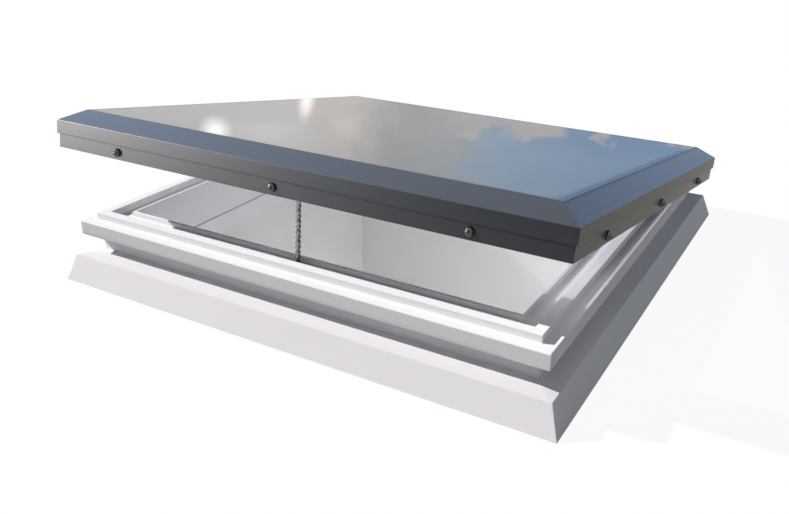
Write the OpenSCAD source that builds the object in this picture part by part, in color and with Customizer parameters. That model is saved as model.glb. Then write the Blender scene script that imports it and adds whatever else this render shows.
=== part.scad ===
// Opening rooflight on a square kerb: a white vent frame, a hinged glazed lid
// and a chain actuator that is let into the front member of the frame.
// Distances marked half are measured from the centre of the clear opening.

/* [Kerb] */
// Width of the kerb at its foot
base_w = 1000; // [900:10:1200]
// Width of each member, from the foot's outer edge to the clear opening
member_w = 102; // [98:0.5:112]
// How far the skirt leans in between the foot and the ledge
skirt_batter = 17.6; // [8:0.1:24]
// Height of the skirt
skirt_h = 50.5; // [46:0.5:60]
// Rise of the weathered ledge from the skirt to the neck
ledge_rise = 6.5; // [2:0.5:12]
// Height of the seat that carries the vent frame
seat_z = 41; // [34:0.5:45]
// Width of the seal in the kerb's foot
base_seal_w = 12; // [8:1:16]
// Height of the seal in the kerb's foot
base_seal_h = 4; // [3:0.5:6]
// Distance of the kerb's fixing holes from the middle of each member
fixing_x = 300; // [200:10:360]
// Diameter of the kerb's fixing holes
fixing_d = 7; // [5:0.5:9]
// Diameter of the recess for the fixing's head
fixing_head_d = 16; // [12:0.5:20]
// Depth of the recess for the fixing's head
fixing_head_h = 10; // [6:1:14]

/* [Vent frame] */
// Thickness of the gasket between kerb and vent frame
gasket_t = 2; // [1:0.5:4]
// Thickness of the neck
neck_t = 46.3; // [44:0.1:52]
// Height of the overhang's underside above the foot
over_z = 91.6; // [88:0.2:96]
// Reach of the overhang beyond the neck
frame_over = 26.4; // [22:0.2:32]
// Height of the vent frame's outer face
frame_face_h = 27.4; // [24:0.2:32]
// Set-back of the lip from the outer face
lip_set = 22.3; // [18:0.1:26]
// Thickness of the lip
lip_t = 18.4; // [16:0.1:22]
// Height of the lip above the outer ledge
lip_h = 12.8; // [11:0.2:16]
// Depth of the channel behind the lip
channel_depth = 13.3; // [12:0.1:15]
// Thickness of the nib along the clear opening
nib_t = 5.5; // [4:0.5:8]
// Drop of the nib below the lip
nib_drop = 3.8; // [2:0.2:8]
// Radius of the vent frame's outer edges
frame_edge_r = 2; // [0.5:0.5:4]

/* [Lid] */
// Opening angle of the lid in the modelled pose
lid_open = 10.2; // [4:0.2:12]
// Height of the seal under the lid
seal_h = 3.4; // [3:0.2:5]
// Width of the seal under the lid
seal_w = 12; // [9:0.5:14]
// Thickness of the sash's flange
flange_t = 2.5; // [2:0.1:4]
// Width of the glazing tape
tape_w = 14; // [10:1:18]
// Thickness of the glazing tape
tape_t = 2; // [1:0.5:4]
// Thickness of the outer pane
outer_pane_t = 6; // [4:0.5:10]
// Thickness of the inner pane
inner_pane_t = 6; // [4:0.5:10]
// Depth of the cavity between the panes
cavity = 10; // [8:1:16]
// Width of the spacer bar
spacer_w = 8; // [6:0.5:10]
// Width of the edge seal outside the spacer bar
edge_seal_w = 5; // [3:0.5:8]
// Width of the sealant joint round the glass
joint_w = 2; // [1:0.5:4]
// Width of the capping's bevel
bevel_w = 37; // [34:0.5:42]
// Drop of the capping's bevel
bevel_drop = 21.6; // [18:0.2:25]
// Height of the capping's upper face
cap_face_h = 24.1; // [20:0.1:28]
// Step from the upper to the lower face
cap_step = 3.2; // [3:0.1:7]
// Height of the capping's lower face
cap_lower_h = 25; // [22:0.5:28]
// Sheet thickness of the capping
cap_t = 2.5; // [1.5:0.1:3]
// Depth of the capping's leg beside the glass
cap_return = 12; // [9:0.5:14]
// Thickness of the sash's skirt
sash_t = 4; // [2:0.1:4]
// Reach of the sash's flange inwards from the lip's inner face
flange_reach = 18; // [16:0.5:22]
// Thickness of the sash's upstands
upstand_t = 2.5; // [2:0.1:3.5]
// Length of a corner cleat's arm
cleat_l = 70; // [50:5:100]
// Thickness of a corner cleat
cleat_t = 3; // [2:0.5:4]
// Length of a glass location block
block_l = 60; // [40:5:90]

/* [Side screws] */
// Spacing of the side screws along each face
screw_pitch = 340; // [300:5:380]
// Diameter of a dome cap
dome_d = 15; // [13:0.5:20]
// Height of a dome cap
dome_h = 8; // [5:0.2:10]
// Diameter of a side screw's shank
screw_d = 4.8; // [4:0.2:6]
// Diameter of a side screw's head
screw_head_d = 9; // [8:0.5:10]
// Height of a side screw's head
screw_head_h = 2.6; // [2:0.2:3.4]
// Projection of a side screw behind the sash
screw_tail = 3; // [1:0.5:5]

/* [Hinges] */
// Distance of each hinge from the middle of the back face
hinge_x = 190; // [140:5:230]
// Length of a hinge
hinge_l = 120; // [80:5:150]
// Radius of the knuckles
knuckle_r = 4; // [3.5:0.1:4.5]
// Radius of the hinge pins
pin_r = 2; // [1.5:0.1:2.5]
// Thickness of the hinge leaves
leaf_t = 1.5; // [1:0.1:2]
// Height of the hinge axis above the overhang's underside
hinge_rise = 6.4; // [5.5:0.2:8]
// Height of the leaves above the hinge axis
leaf_h = 18; // [15:0.5:20]
// Diameter of a leaf screw
leaf_screw_d = 3.5; // [3:0.1:4]

/* [Actuator] */
// Length of the actuator's housing
housing_l = 400; // [300:10:460]
// Width of the actuator's housing
housing_w = 28; // [24:0.5:30]
// Height of the actuator's housing
housing_h = 54; // [50:0.5:56]
// Wall of the actuator's housing
housing_wall = 2; // [1.5:0.1:3]
// Thickness of an end cap
end_cap_t = 6; // [4:0.5:9]
// Radius of the end caps' trunnions
trunnion_r = 4; // [3:0.5:5]
// Thickness of the trunnion brackets
bracket_t = 3; // [2:0.5:4]
// Length of a bracket's foot
bracket_foot = 24; // [18:1:30]
// Wall of the frame behind the actuator
pocket_wall = 3.3; // [2.5:0.1:5]
// Roof of the frame over the actuator
pocket_roof = 6.5; // [5:0.5:8]
// Floor of the frame below the actuator
pocket_floor = 7; // [5:0.5:9]
// Thickness of the cover over the actuator
cover_t = 2.5; // [2:0.1:3]
// Lap of the cover on the frame
cover_lap = 10; // [8:0.5:14]
// Length of the motor inside the housing
motor_l = 110; // [80:5:140]
// Diameter of the motor inside the housing
motor_d = 22; // [18:0.5:23]
// Projection of the chain guide above the housing
guide_h = 4; // [2:0.5:5]

/* [Chain] */
// Pitch of the chain
chain_pitch = 9; // [7:0.25:10]
// Width of the chain's plates
plate_w = 7; // [6:0.2:7.4]
// Thickness of the chain's plates
plate_t = 1; // [0.8:0.1:1.2]
// Diameter of the chain's rollers
roller_d = 5; // [4.6:0.1:5.6]
// Gap between the inner plates
roller_w = 3; // [2.5:0.1:3.4]
// Diameter of the chain's pins
chain_pin_d = 2.3; // [2:0.1:2.6]
// Drop of the end pin below the sash's flange
end_pin_drop = 9.5; // [9:0.25:10.5]
// Diameter of the end pin
end_pin_d = 4; // [3:0.25:4.5]
// Thickness of the chain bracket's sheet
chain_bracket_t = 2; // [1.5:0.1:2.5]
// Length of the chain bracket
chain_bracket_l = 44; // [36:1:60]

/* [Clearances] */
// Radial clearance of a running fit
run_fit = 0.05; // [0.02:0.01:0.1]
// Air between parts that move past each other
air = 0.3; // [0.3:0.05:0.5]
// Clearance round a screw's shank
screw_fit = 0.2; // [0.1:0.05:0.4]
// Clearance round inserted covers and seals
insert_fit = 0.4; // [0.2:0.1:0.6]

/* [Hidden] */
$fn = 48;

// Sides of the square, as turns of the front side about the vertical
front = 0;
right = 90;
back = 180;
left = 270;
sides = [front, right, back, left];
far = 2 * base_w;
cut = 1;

// Kerb and vent frame
kerb_half = base_w / 2;
clear_half = kerb_half - member_w;
neck_half = clear_half + neck_t;
frame_half = neck_half + frame_over;
lip_half = frame_half - lip_set;
lip_inner = lip_half - lip_t;
nib_half = clear_half + nib_t;
neck_foot_z = skirt_h + ledge_rise;
frame_z = seat_z + gasket_t;
ledge_z = over_z + frame_face_h;
lip_z = ledge_z + lip_h;
channel_z = lip_z - channel_depth;
nib_z = lip_z - nib_drop;
seat_mid = (clear_half + neck_half) / 2;
base_seal_half = kerb_half - skirt_batter - base_seal_w / 2;
gasket_set = 1;
edge_r = 1;

// Hinge axis, in the narrow space between the frame's back face and the lid's skirt
hinge_y = frame_half + leaf_t + air + knuckle_r;
hinge_z = over_z + hinge_rise;
sash_inner = hinge_y + knuckle_r + air + leaf_t;
sash_half = sash_inner + sash_t;
cap_lower_half = sash_half + cap_t;
lid_half = cap_lower_half + cap_step;
hinge_rows = [-hinge_x, hinge_x];
knuckles = 5;
knuckle_l = hinge_l / knuckles;
pin_rim = 1;
leaf_screw_l = 14;
leaf_screw_edge = 15;
leaf_screw_share = 0.62;
leaf_screw_r = leaf_screw_d / 2;
leaf_screw_z = hinge_z + leaf_h * leaf_screw_share;
leaf_screw_rows = [-hinge_l / 2 + leaf_screw_edge, 0, hinge_l / 2 - leaf_screw_edge];

// Closed heights of the lid, from the lip upwards
seal_z = lip_z + air;
flange_z = seal_z + seal_h;
flange_top = flange_z + flange_t;
glass_z = flange_top + tape_t;
cavity_z = glass_z + inner_pane_t;
outer_pane_z = cavity_z + cavity;
lid_top = outer_pane_z + outer_pane_t;
bevel_z = lid_top - bevel_drop;
step_z = bevel_z - cap_face_h;
lid_bottom = step_z - cap_lower_h;
bevel_half = lid_half - bevel_w;
glass_half = bevel_half - joint_w;
seal_mid = (lip_half + lip_inner) / 2;
flange_inner = lip_inner - flange_reach;
tape_half = glass_half - edge_seal_w / 2;
upstand_gap = 4;
upstand_half = bevel_half + cap_t + upstand_gap + upstand_t;
bevel_slope = bevel_drop / bevel_w;
bevel_thick = cap_t * sqrt(1 + bevel_slope * bevel_slope);
skirt_lift = 1;
screw_z = (lid_bottom + step_z) / 2;
screw_rows = [-screw_pitch, 0, screw_pitch];
screw_l = cap_t + sash_t + screw_tail;
dome_ball_r = (dome_d * dome_d / 4 + dome_h * dome_h) / (2 * dome_h);
seal_edge_r = 0.5;
sealant_drop = 0.5;
cleat_out = sash_half - upstand_t - insert_fit;
cleat_in = upstand_half + insert_fit;
block_x = glass_half / 2;
block_gap = 1;
block_top = lid_top - cap_return - block_gap;

// Actuator pocket and swivel axis
pocket_room = 7;
pocket_half_l = housing_l / 2 + end_cap_t + bracket_t + bracket_foot + pocket_room;
pocket_z = frame_z + pocket_floor;
pocket_top = channel_z - pocket_roof;
pocket_out = neck_half - pocket_wall;
pocket_in = clear_half + cover_t;
swivel_y = -(pocket_in + pocket_out) / 2;
swivel_z = (pocket_z + pocket_top) / 2;
cover_half_l = pocket_half_l + cover_lap;
cover_rim = 3;
cover_screw_d = 3.5;
cover_screw_l = 14;
cover_screw_x = pocket_half_l + cover_lap / 2;
cover_screw_z = 18;
housing_top = housing_h / 2;
guide_top = housing_top + guide_h;
cap_gap = 1;
bracket_x = housing_l / 2 + end_cap_t + cap_gap;
trunnion_tail = 2;
trunnion_end = bracket_x + bracket_t + trunnion_tail;
trunnion_edge = 6;
bracket_w = housing_w;
bracket_screw_x = bracket_x + bracket_t + bracket_foot / 2;
bracket_screw_y = bracket_w / 4;
bracket_screw_d = 4;
screw_end_gap = 1;
bracket_screw_l = bracket_t + pocket_roof - screw_end_gap;
motor_set = 30;
motor_x = -housing_l / 2 + motor_set;
motor_z = -housing_top + housing_wall + motor_d / 2;
gearbox_l = 46;

// Chain, from the swivel axis to the end pin on the open lid
end_pin_closed = [swivel_y, flange_z - end_pin_drop];
end_pin_open = opened(end_pin_closed);
reach_y = end_pin_open[0] - swivel_y;
reach_z = end_pin_open[1] - swivel_z;
chain_reach = norm([reach_y, reach_z]);
swivel_open = atan2(reach_y, reach_z);
link_pairs = floor((chain_reach - guide_top) / (2 * chain_pitch));
link_count = 2 * link_pairs + 1;
inner_y = roller_w / 2;
plate_gap = 0.1;
pin_tail = 0.4;
outer_y = inner_y + plate_t + plate_gap;
chain_half_y = outer_y + plate_t + pin_tail;
chain_pin_r = chain_pin_d / 2;
bush_t = 0.6;
bush_r = chain_pin_r + bush_t;
guide_end_wall = 4;
guide_side_wall = 1.2;
guide_half_x = plate_w / 2 + air + guide_end_wall;
guide_half_y = chain_half_y + air + guide_side_wall;
guide_flange = 2.5;
slot_end_room = 3;
slot_out_room = 2;
slot_in_room = 5;
slot_half_x = guide_half_x + slot_end_room;
slot_y = [swivel_y - guide_half_y - slot_out_room, swivel_y + guide_half_y + slot_in_room];
end_barrel_t = 2;
end_barrel_r = end_pin_d / 2 + end_barrel_t;
end_barrel_half = 4;
cheek_x = end_barrel_half + air;
cheek_end = cheek_x + chain_bracket_t;
end_pin_head = 1.2;
end_pin_rim = 1;
bracket_half_w = -end_pin_closed[0] - flange_inner - insert_fit;
chain_bracket_screw_d = 3.5;
chain_bracket_screw_edge = 6;
chain_bracket_screw_x = chain_bracket_l / 2 - chain_bracket_screw_edge;

// Point [y, z] of the closed lid, carried to the open pose
function opened(p) = let (y = p[0] - hinge_y, z = p[1] - hinge_z)
    [hinge_y + y * cos(lid_open) + z * sin(lid_open),
     hinge_z - y * sin(lid_open) + z * cos(lid_open)];

// Underside of the capping's bevel at a distance from the centre
function bevel_under(half) = lid_top - bevel_slope * (half - bevel_half) - bevel_thick;

// Arc that rounds the corner b between a and c
function corner_arc(a, b, c, r, steps = 4) =
    let (u = (a - b) / norm(a - b), v = (c - b) / norm(c - b), bend = acos(u * v) / 2)
    let (centre = b + (u + v) / norm(u + v) * r / sin(bend))
    let (p = b + u * r / tan(bend) - centre, q = b + v * r / tan(bend) - centre)
    let (start = atan2(p[1], p[0]), turn = atan2(q[1], q[0]) - start)
    let (sweep = turn > 180 ? turn - 360 : turn < -180 ? turn + 360 : turn)
    [for (i = [0:steps]) centre + r * [cos(start + sweep * i / steps), sin(start + sweep * i / steps)]];

// Outline through points [x, y, r], each corner rounded by its own r
function rounded(points) = let (n = len(points), xy = [for (p = points) [p[0], p[1]]])
    [for (i = [0:n - 1])
        each points[i][2] == 0 ? [xy[i]]
            : corner_arc(xy[(i + n - 1) % n], xy[i], xy[(i + 1) % n], points[i][2])];

// Mitred rail of one side; the outline's x is the distance from the centre
module rail(side, outline)
    rotate([0, 0, side])
        intersection() {
            rotate([90, 0, -90]) linear_extrude(far, center = true) polygon(outline);
            linear_extrude(far, center = true) polygon([[0, 0], [-base_w, -base_w], [base_w, -base_w]]);
        }

// Welded frame of four mitred rails
module welded(outline)
    union() {
        for (side = sides) rail(side, outline);
    }

// Flat square ring between two distances from the centre
module ring(outer, inner, z, h)
    translate([0, 0, z]) linear_extrude(h) difference() {
        square(2 * outer, center = true);
        square(2 * inner, center = true);
    }

// Box given by its lowest and highest corners
module span(low, high)
    translate(low) cube(high - low);

// Rod along X, Y or Z from a point
module rod_x(p, r, l) translate(p) rotate([0, 90, 0]) cylinder(r = r, h = l);
module rod_y(p, r, l) translate(p) rotate([-90, 0, 0]) cylinder(r = r, h = l);
module rod_z(p, r, l) translate(p) cylinder(r = r, h = l);

// The closed lid, carried to the open pose
module open_lid()
    translate([0, hinge_y, hinge_z]) rotate([-lid_open, 0, 0]) translate([0, -hinge_y, -hinge_z])
        children();

// The upright actuator, with the swivel axis as its origin, carried to the open pose
module swivelled()
    translate([0, swivel_y, swivel_z]) rotate([-swivel_open, 0, 0]) children();

// Kerb
module fixing_hole(x, y) {
    rod_z([x, y, -cut], fixing_d / 2, seat_z + 2 * cut);
    rod_z([x, y, seat_z - fixing_head_h], fixing_head_d / 2, fixing_head_h + cut);
}

module kerb()
    color("white") difference() {
        welded(rounded([[clear_half, 0, 0], [kerb_half, 0, 0],
                        [kerb_half - skirt_batter, skirt_h, edge_r], [neck_half, neck_foot_z, 0],
                        [neck_half, seat_z, 0], [clear_half, seat_z, 0]]));
        for (side = sides, x = [-fixing_x, fixing_x]) rotate([0, 0, side]) fixing_hole(x, -seat_mid);
        ring(base_seal_half + base_seal_w / 2, base_seal_half - base_seal_w / 2, -cut,
             base_seal_h + cut);
    }

module base_seal()
    color("dimgray")
        ring(base_seal_half + base_seal_w / 2 - insert_fit, base_seal_half - base_seal_w / 2 + insert_fit,
             insert_fit, base_seal_h - insert_fit);

module joint_gasket()
    color("dimgray") ring(neck_half - gasket_set, clear_half + gasket_set, seat_z, gasket_t);

// Vent frame
module vent_frame_profile()
    welded(rounded([[clear_half, frame_z, 0], [neck_half, frame_z, 0], [neck_half, over_z, 0],
                    [frame_half, over_z, edge_r], [frame_half, ledge_z, frame_edge_r],
                    [lip_half, ledge_z, 0], [lip_half, lip_z, edge_r], [lip_inner, lip_z, edge_r],
                    [lip_inner, channel_z, 0], [nib_half, channel_z, 0], [nib_half, nib_z, edge_r],
                    [clear_half, nib_z, edge_r]]));

module actuator_pocket() {
    span([-pocket_half_l, -pocket_out, pocket_z], [pocket_half_l, -clear_half + cut, pocket_top]);
    span([-cover_half_l - insert_fit, -pocket_in, pocket_z - cover_rim - insert_fit],
         [cover_half_l + insert_fit, -clear_half + cut, pocket_top + cover_rim + insert_fit]);
    span([-slot_half_x, slot_y[0], pocket_top - cut], [slot_half_x, slot_y[1], channel_z + cut]);
}

module at_cover_screws()
    for (x = [-cover_screw_x, cover_screw_x], z = [-cover_screw_z, cover_screw_z])
        translate([x, -clear_half, swivel_z + z]) children();

module at_bracket_screws()
    for (x = [-bracket_screw_x, bracket_screw_x], y = [-bracket_screw_y, bracket_screw_y])
        translate([x, swivel_y + y, pocket_top - bracket_t]) children();

module at_leaf_screws()
    for (x = hinge_rows, row = leaf_screw_rows) translate([x + row, 0, leaf_screw_z]) children();

module vent_frame()
    color("white") difference() {
        vent_frame_profile();
        actuator_pocket();
        at_cover_screws() rod_y([0, -cover_screw_l - cut, 0], cover_screw_d / 2 + screw_fit, cover_screw_l);
        at_bracket_screws() rod_z([0, 0, 0], bracket_screw_d / 2 + screw_fit, bracket_screw_l);
        at_leaf_screws()
            rod_y([0, frame_half - leaf_screw_l, 0], leaf_screw_r + screw_fit, leaf_screw_l + cut);
    }

// Countersunk screw whose flat head lies at the origin and whose shank runs along -Y
module countersunk(d, l) {
    rod_y([0, -l, 0], d / 2, l);
    rotate([90, 0, 0]) cylinder(r1 = d, r2 = d / 2, h = d / 2);
}

// Pan-head screw whose head rests on the origin and whose shank runs up
module pan_screw(d, head_d, head_h, l) {
    rod_z([0, 0, 0], d / 2, l);
    rod_z([0, 0, -head_h], head_d / 2, head_h);
}

module actuator_cover()
    color("white") difference() {
        span([-cover_half_l, -pocket_in, pocket_z - cover_rim],
             [cover_half_l, -clear_half, pocket_top + cover_rim]);
        at_cover_screws() {
            rod_y([0, -cover_t - cut, 0], cover_screw_d / 2 + screw_fit, cover_t + 2 * cut);
            rotate([90, 0, 0]) cylinder(r1 = cover_screw_d, r2 = cover_screw_d / 2, h = cover_screw_d / 2);
        }
    }

module cover_screws()
    color("gainsboro") at_cover_screws() countersunk(cover_screw_d, cover_screw_l - cut);

// Actuator
module actuator_brackets()
    color("silver") for (turn = [0, 180]) difference() {
        translate([0, swivel_y, 0]) rotate([0, 0, turn]) union() {
            span([bracket_x, -bracket_w / 2, swivel_z - trunnion_r - trunnion_edge],
                 [bracket_x + bracket_t, bracket_w / 2, pocket_top]);
            span([bracket_x, -bracket_w / 2, pocket_top - bracket_t],
                 [bracket_x + bracket_t + bracket_foot, bracket_w / 2, pocket_top]);
        }
        rod_x([-far / 2, swivel_y, swivel_z], trunnion_r + run_fit, far);
        at_bracket_screws() rod_z([0, 0, -cut], bracket_screw_d / 2 + screw_fit, bracket_t + 2 * cut);
    }

module actuator_bracket_screws()
    color("silver") at_bracket_screws()
        pan_screw(bracket_screw_d, 2 * bracket_screw_d, bracket_screw_d / 2, bracket_screw_l - cut);

module housing_section(inset = 0)
    square([housing_w - 2 * inset, housing_h - 2 * inset], center = true);

module actuator_housing()
    color("lightslategray") swivelled() difference() {
        rotate([90, 0, 90]) linear_extrude(housing_l, center = true) difference() {
            housing_section();
            housing_section(housing_wall);
        }
        span([-guide_half_x - screw_fit, -guide_half_y - screw_fit, 0],
             [guide_half_x + screw_fit, guide_half_y + screw_fit, housing_top + cut]);
    }

module actuator_end_caps()
    color("dimgray") swivelled() for (turn = [0, 180]) rotate([0, 0, turn]) {
        translate([housing_l / 2, 0, 0]) rotate([90, 0, 90]) linear_extrude(end_cap_t) housing_section();
        rod_x([housing_l / 2, 0, 0], trunnion_r, trunnion_end - housing_l / 2);
    }

module drive_motor()
    color("gray") swivelled() {
        rod_x([motor_x, 0, motor_z], motor_d / 2, motor_l);
        span([motor_x, -motor_d / 4, -housing_top + housing_wall],
             [motor_x + motor_l, motor_d / 4, motor_z]);
        span([motor_x + motor_l, -motor_d / 2, -housing_top + housing_wall],
             [motor_x + motor_l + gearbox_l, motor_d / 2, motor_z + motor_d / 2]);
    }

module chain_guide()
    color("dimgray") swivelled() difference() {
        union() {
            span([-guide_half_x, -guide_half_y, housing_top - housing_wall - guide_flange],
                 [guide_half_x, guide_half_y, guide_top]);
            span([-guide_half_x - guide_flange, -guide_half_y - guide_flange,
                  housing_top - housing_wall - guide_flange],
                 [guide_half_x + guide_flange, guide_half_y + guide_flange, housing_top - housing_wall]);
        }
        span([-plate_w / 2 - air, -chain_half_y - air, 0], [plate_w / 2 + air, chain_half_y + air, far]);
    }

// Chain, with its links laid along Z from the end pin down into the guide
function link_z(i) = chain_reach - chain_pitch * (i + 1);

module at_links(first)
    for (i = [first:2:link_count - 1]) translate([0, 0, link_z(i)]) children();

// Waisted plate between two pins, lying across Y
module link_plate(y)
    translate([0, y + plate_t, 0]) rotate([90, 0, 0]) linear_extrude(plate_t) {
        for (z = [0, -chain_pitch]) translate([0, z]) circle(d = plate_w);
        translate([-plate_w / 3, -chain_pitch]) square([plate_w * 2 / 3, chain_pitch]);
    }

module inner_link()
    difference() {
        union() {
            link_plate(inner_y);
            link_plate(-inner_y - plate_t);
            for (z = [0, -chain_pitch]) rod_y([0, -inner_y, z], bush_r, roller_w);
        }
        for (z = [0, -chain_pitch]) rod_y([0, -far / 2, z], chain_pin_r + run_fit, far);
    }

module outer_link() {
    link_plate(outer_y);
    link_plate(-outer_y - plate_t);
    for (z = [0, -chain_pitch]) rod_y([0, -chain_half_y, z], chain_pin_r, 2 * chain_half_y);
}

module chain_inner_links()
    color("dimgray") swivelled() at_links(0) inner_link();

module chain_outer_links()
    color("gray") swivelled() at_links(1) outer_link();

module chain_rollers()
    color("silver") swivelled() for (i = [0:link_count]) translate([0, 0, link_z(i)]) difference() {
        rod_y([0, -inner_y + run_fit, 0], roller_d / 2, roller_w - 2 * run_fit);
        rod_y([0, -inner_y, 0], bush_r + run_fit, roller_w);
    }

// Last link of the chain, with a barrel that turns on the end pin
module chain_end()
    color("dimgray") swivelled() translate([0, 0, chain_reach]) difference() {
        union() {
            for (y = [outer_y, -outer_y - plate_t]) {
                span([-plate_w / 2, y, -chain_pitch], [plate_w / 2, y + plate_t, 0]);
                rod_y([0, y, -chain_pitch], plate_w / 2, plate_t);
            }
            rod_y([0, -chain_half_y, -chain_pitch], chain_pin_r, 2 * chain_half_y);
            rod_x([-end_barrel_half, 0, 0], end_barrel_r, 2 * end_barrel_half);
        }
        rod_x([-far / 2, 0, 0], end_pin_d / 2 + run_fit, far);
    }

module chain_end_pin()
    color("silver") open_lid() translate([0, end_pin_closed[0], end_pin_closed[1]]) {
        rod_x([-cheek_end, 0, 0], end_pin_d / 2, 2 * cheek_end);
        for (x = [-cheek_end - end_pin_head, cheek_end])
            rod_x([x, 0, 0], end_pin_d / 2 + end_pin_rim, end_pin_head);
    }

module at_chain_bracket_screws()
    for (x = [-chain_bracket_screw_x, chain_bracket_screw_x])
        translate([x, end_pin_closed[0], flange_z - chain_bracket_t]) children();

module chain_bracket()
    color("dimgray") open_lid() difference() {
        translate([0, end_pin_closed[0], 0]) union() {
            span([-chain_bracket_l / 2, -bracket_half_w, flange_z - chain_bracket_t],
                 [chain_bracket_l / 2, bracket_half_w, flange_z]);
            for (x = [-cheek_end, cheek_x]) {
                span([x, -end_barrel_r, end_pin_closed[1]],
                     [x + chain_bracket_t, end_barrel_r, flange_z - chain_bracket_t / 2]);
                rod_x([x, 0, end_pin_closed[1]], end_barrel_r, chain_bracket_t);
            }
        }
        rod_x([-far / 2, end_pin_closed[0], end_pin_closed[1]], end_pin_d / 2 + run_fit, far);
        at_chain_bracket_screws()
            rod_z([0, 0, -cut], chain_bracket_screw_d / 2 + screw_fit, chain_bracket_t + 2 * cut);
    }

module chain_bracket_screws()
    color("silver") open_lid() at_chain_bracket_screws()
        pan_screw(chain_bracket_screw_d, 2 * chain_bracket_screw_d, chain_bracket_screw_d / 2,
                  chain_bracket_t + flange_t);

// Hinges, with alternate knuckles on the frame leaf and on the lid leaf
module knuckle_row(first)
    for (i = [first:2:knuckles - 1])
        rod_x([-hinge_l / 2 + i * knuckle_l + air / 2, hinge_y, hinge_z], knuckle_r, knuckle_l - air);

module knuckle_webs(first, low, high)
    for (i = [first:2:knuckles - 1])
        span([-hinge_l / 2 + i * knuckle_l + air / 2, low[0], low[1]],
             [-hinge_l / 2 + (i + 1) * knuckle_l - air / 2, high[0], high[1]]);

module pin_bore()
    rod_x([-far / 2, hinge_y, hinge_z], pin_r + run_fit, far);

module hinge_frame_leaves()
    color("silver") difference() {
        for (x = hinge_rows) translate([x, 0, 0]) {
            span([-hinge_l / 2, frame_half, hinge_z - knuckle_r],
                 [hinge_l / 2, frame_half + leaf_t, hinge_z + leaf_h]);
            knuckle_webs(0, [frame_half, hinge_z - knuckle_r], [hinge_y, hinge_z - knuckle_r + leaf_t]);
            knuckle_row(0);
        }
        pin_bore();
        at_leaf_screws() rod_y([0, frame_half - cut, 0], leaf_screw_r + screw_fit, leaf_t + 2 * cut);
    }

module hinge_lid_leaves()
    color("silver") open_lid() difference() {
        for (x = hinge_rows) translate([x, 0, 0]) {
            span([-hinge_l / 2, sash_inner - leaf_t, hinge_z],
                 [hinge_l / 2, sash_inner, hinge_z + leaf_h]);
            knuckle_webs(1, [hinge_y, hinge_z + knuckle_r - leaf_t], [sash_inner, hinge_z + knuckle_r]);
            knuckle_row(1);
        }
        pin_bore();
        at_leaf_screws()
            rod_y([0, sash_inner - leaf_t - cut, 0], leaf_screw_r + screw_fit, leaf_t + 2 * cut);
    }

module hinge_pins()
    color("gainsboro") for (x = hinge_rows) {
        rod_x([x - hinge_l / 2, hinge_y, hinge_z], pin_r, hinge_l);
        for (end = [-hinge_l / 2 - pin_rim, hinge_l / 2])
            rod_x([x + end, hinge_y, hinge_z], pin_r + pin_rim, pin_rim);
    }

module leaf_screw(l)
    rotate([90, 0, 0]) pan_screw(leaf_screw_d, 2 * leaf_screw_d, leaf_screw_d / 2, l);

module hinge_frame_screws()
    color("gainsboro") at_leaf_screws() translate([0, frame_half + leaf_t, 0]) leaf_screw(leaf_screw_l);

module hinge_lid_screws()
    color("gainsboro") open_lid() at_leaf_screws()
        translate([0, sash_inner - leaf_t, 0]) mirror([0, 1, 0]) leaf_screw(leaf_t + sash_t);

// Sash
module side_screw_holes(side)
    rotate([0, 0, side]) for (x = screw_rows)
        rod_y([x, -lid_half - cut, screw_z], screw_d / 2 + screw_fit, lid_half - sash_inner + 2 * cut);

module sash(side)
    color("dimgray") open_lid() difference() {
        rail(side, [[sash_inner, lid_bottom + skirt_lift], [sash_half, lid_bottom + skirt_lift],
                    [sash_half, bevel_under(sash_half)], [sash_half - upstand_t, bevel_under(sash_half)],
                    [sash_half - upstand_t, flange_top], [upstand_half, flange_top],
                    [upstand_half, bevel_under(upstand_half)],
                    [upstand_half - upstand_t, bevel_under(upstand_half)],
                    [upstand_half - upstand_t, flange_top], [flange_inner, flange_top],
                    [flange_inner, flange_z], [sash_inner, flange_z]]);
        side_screw_holes(side);
        if (side == back)
            at_leaf_screws()
                rod_y([0, sash_inner - cut, 0], leaf_screw_r + screw_fit, sash_t + 2 * cut);
        if (side == front)
            at_chain_bracket_screws()
                rod_z([0, 0, 0], chain_bracket_screw_d / 2 + screw_fit, flange_t + chain_bracket_t + cut);
    }

module sash_front() sash(front);
module sash_right() sash(right);
module sash_back() sash(back);
module sash_left() sash(left);

module corner_cleats()
    color("silver") open_lid() for (side = sides) rotate([0, 0, side]) {
        span([cleat_out - cleat_l, -cleat_out, flange_top], [cleat_out, -cleat_in, flange_top + cleat_t]);
        span([cleat_in, -cleat_out, flange_top], [cleat_out, -cleat_out + cleat_l, flange_top + cleat_t]);
    }

module lid_seal()
    color("black") open_lid()
        welded(rounded([[seal_mid - seal_w / 2, flange_z, 0],
                        [seal_mid - seal_w / 2, flange_z - seal_h / 3, 0],
                        [seal_mid - seal_w / 3, seal_z, seal_edge_r],
                        [seal_mid + seal_w / 3, seal_z, seal_edge_r],
                        [seal_mid + seal_w / 2, flange_z - seal_h / 3, 0],
                        [seal_mid + seal_w / 2, flange_z, 0]]));

// Glass unit
module glazing_tape()
    color("black") open_lid() ring(tape_half, tape_half - tape_w, flange_top, tape_t);

module pane(z, t)
    open_lid() translate([0, 0, z]) linear_extrude(t) square(2 * glass_half, center = true);

module inner_pane()
    color("lightblue", 0.4) pane(glass_z, inner_pane_t);

module spacer_bar()
    color("black") open_lid()
        ring(glass_half - edge_seal_w, glass_half - edge_seal_w - spacer_w, cavity_z, cavity);

module edge_seal()
    color("black") open_lid() ring(glass_half, glass_half - edge_seal_w, cavity_z, cavity);

module outer_pane()
    color("lightblue", 0.4) pane(outer_pane_z, outer_pane_t);

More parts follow.
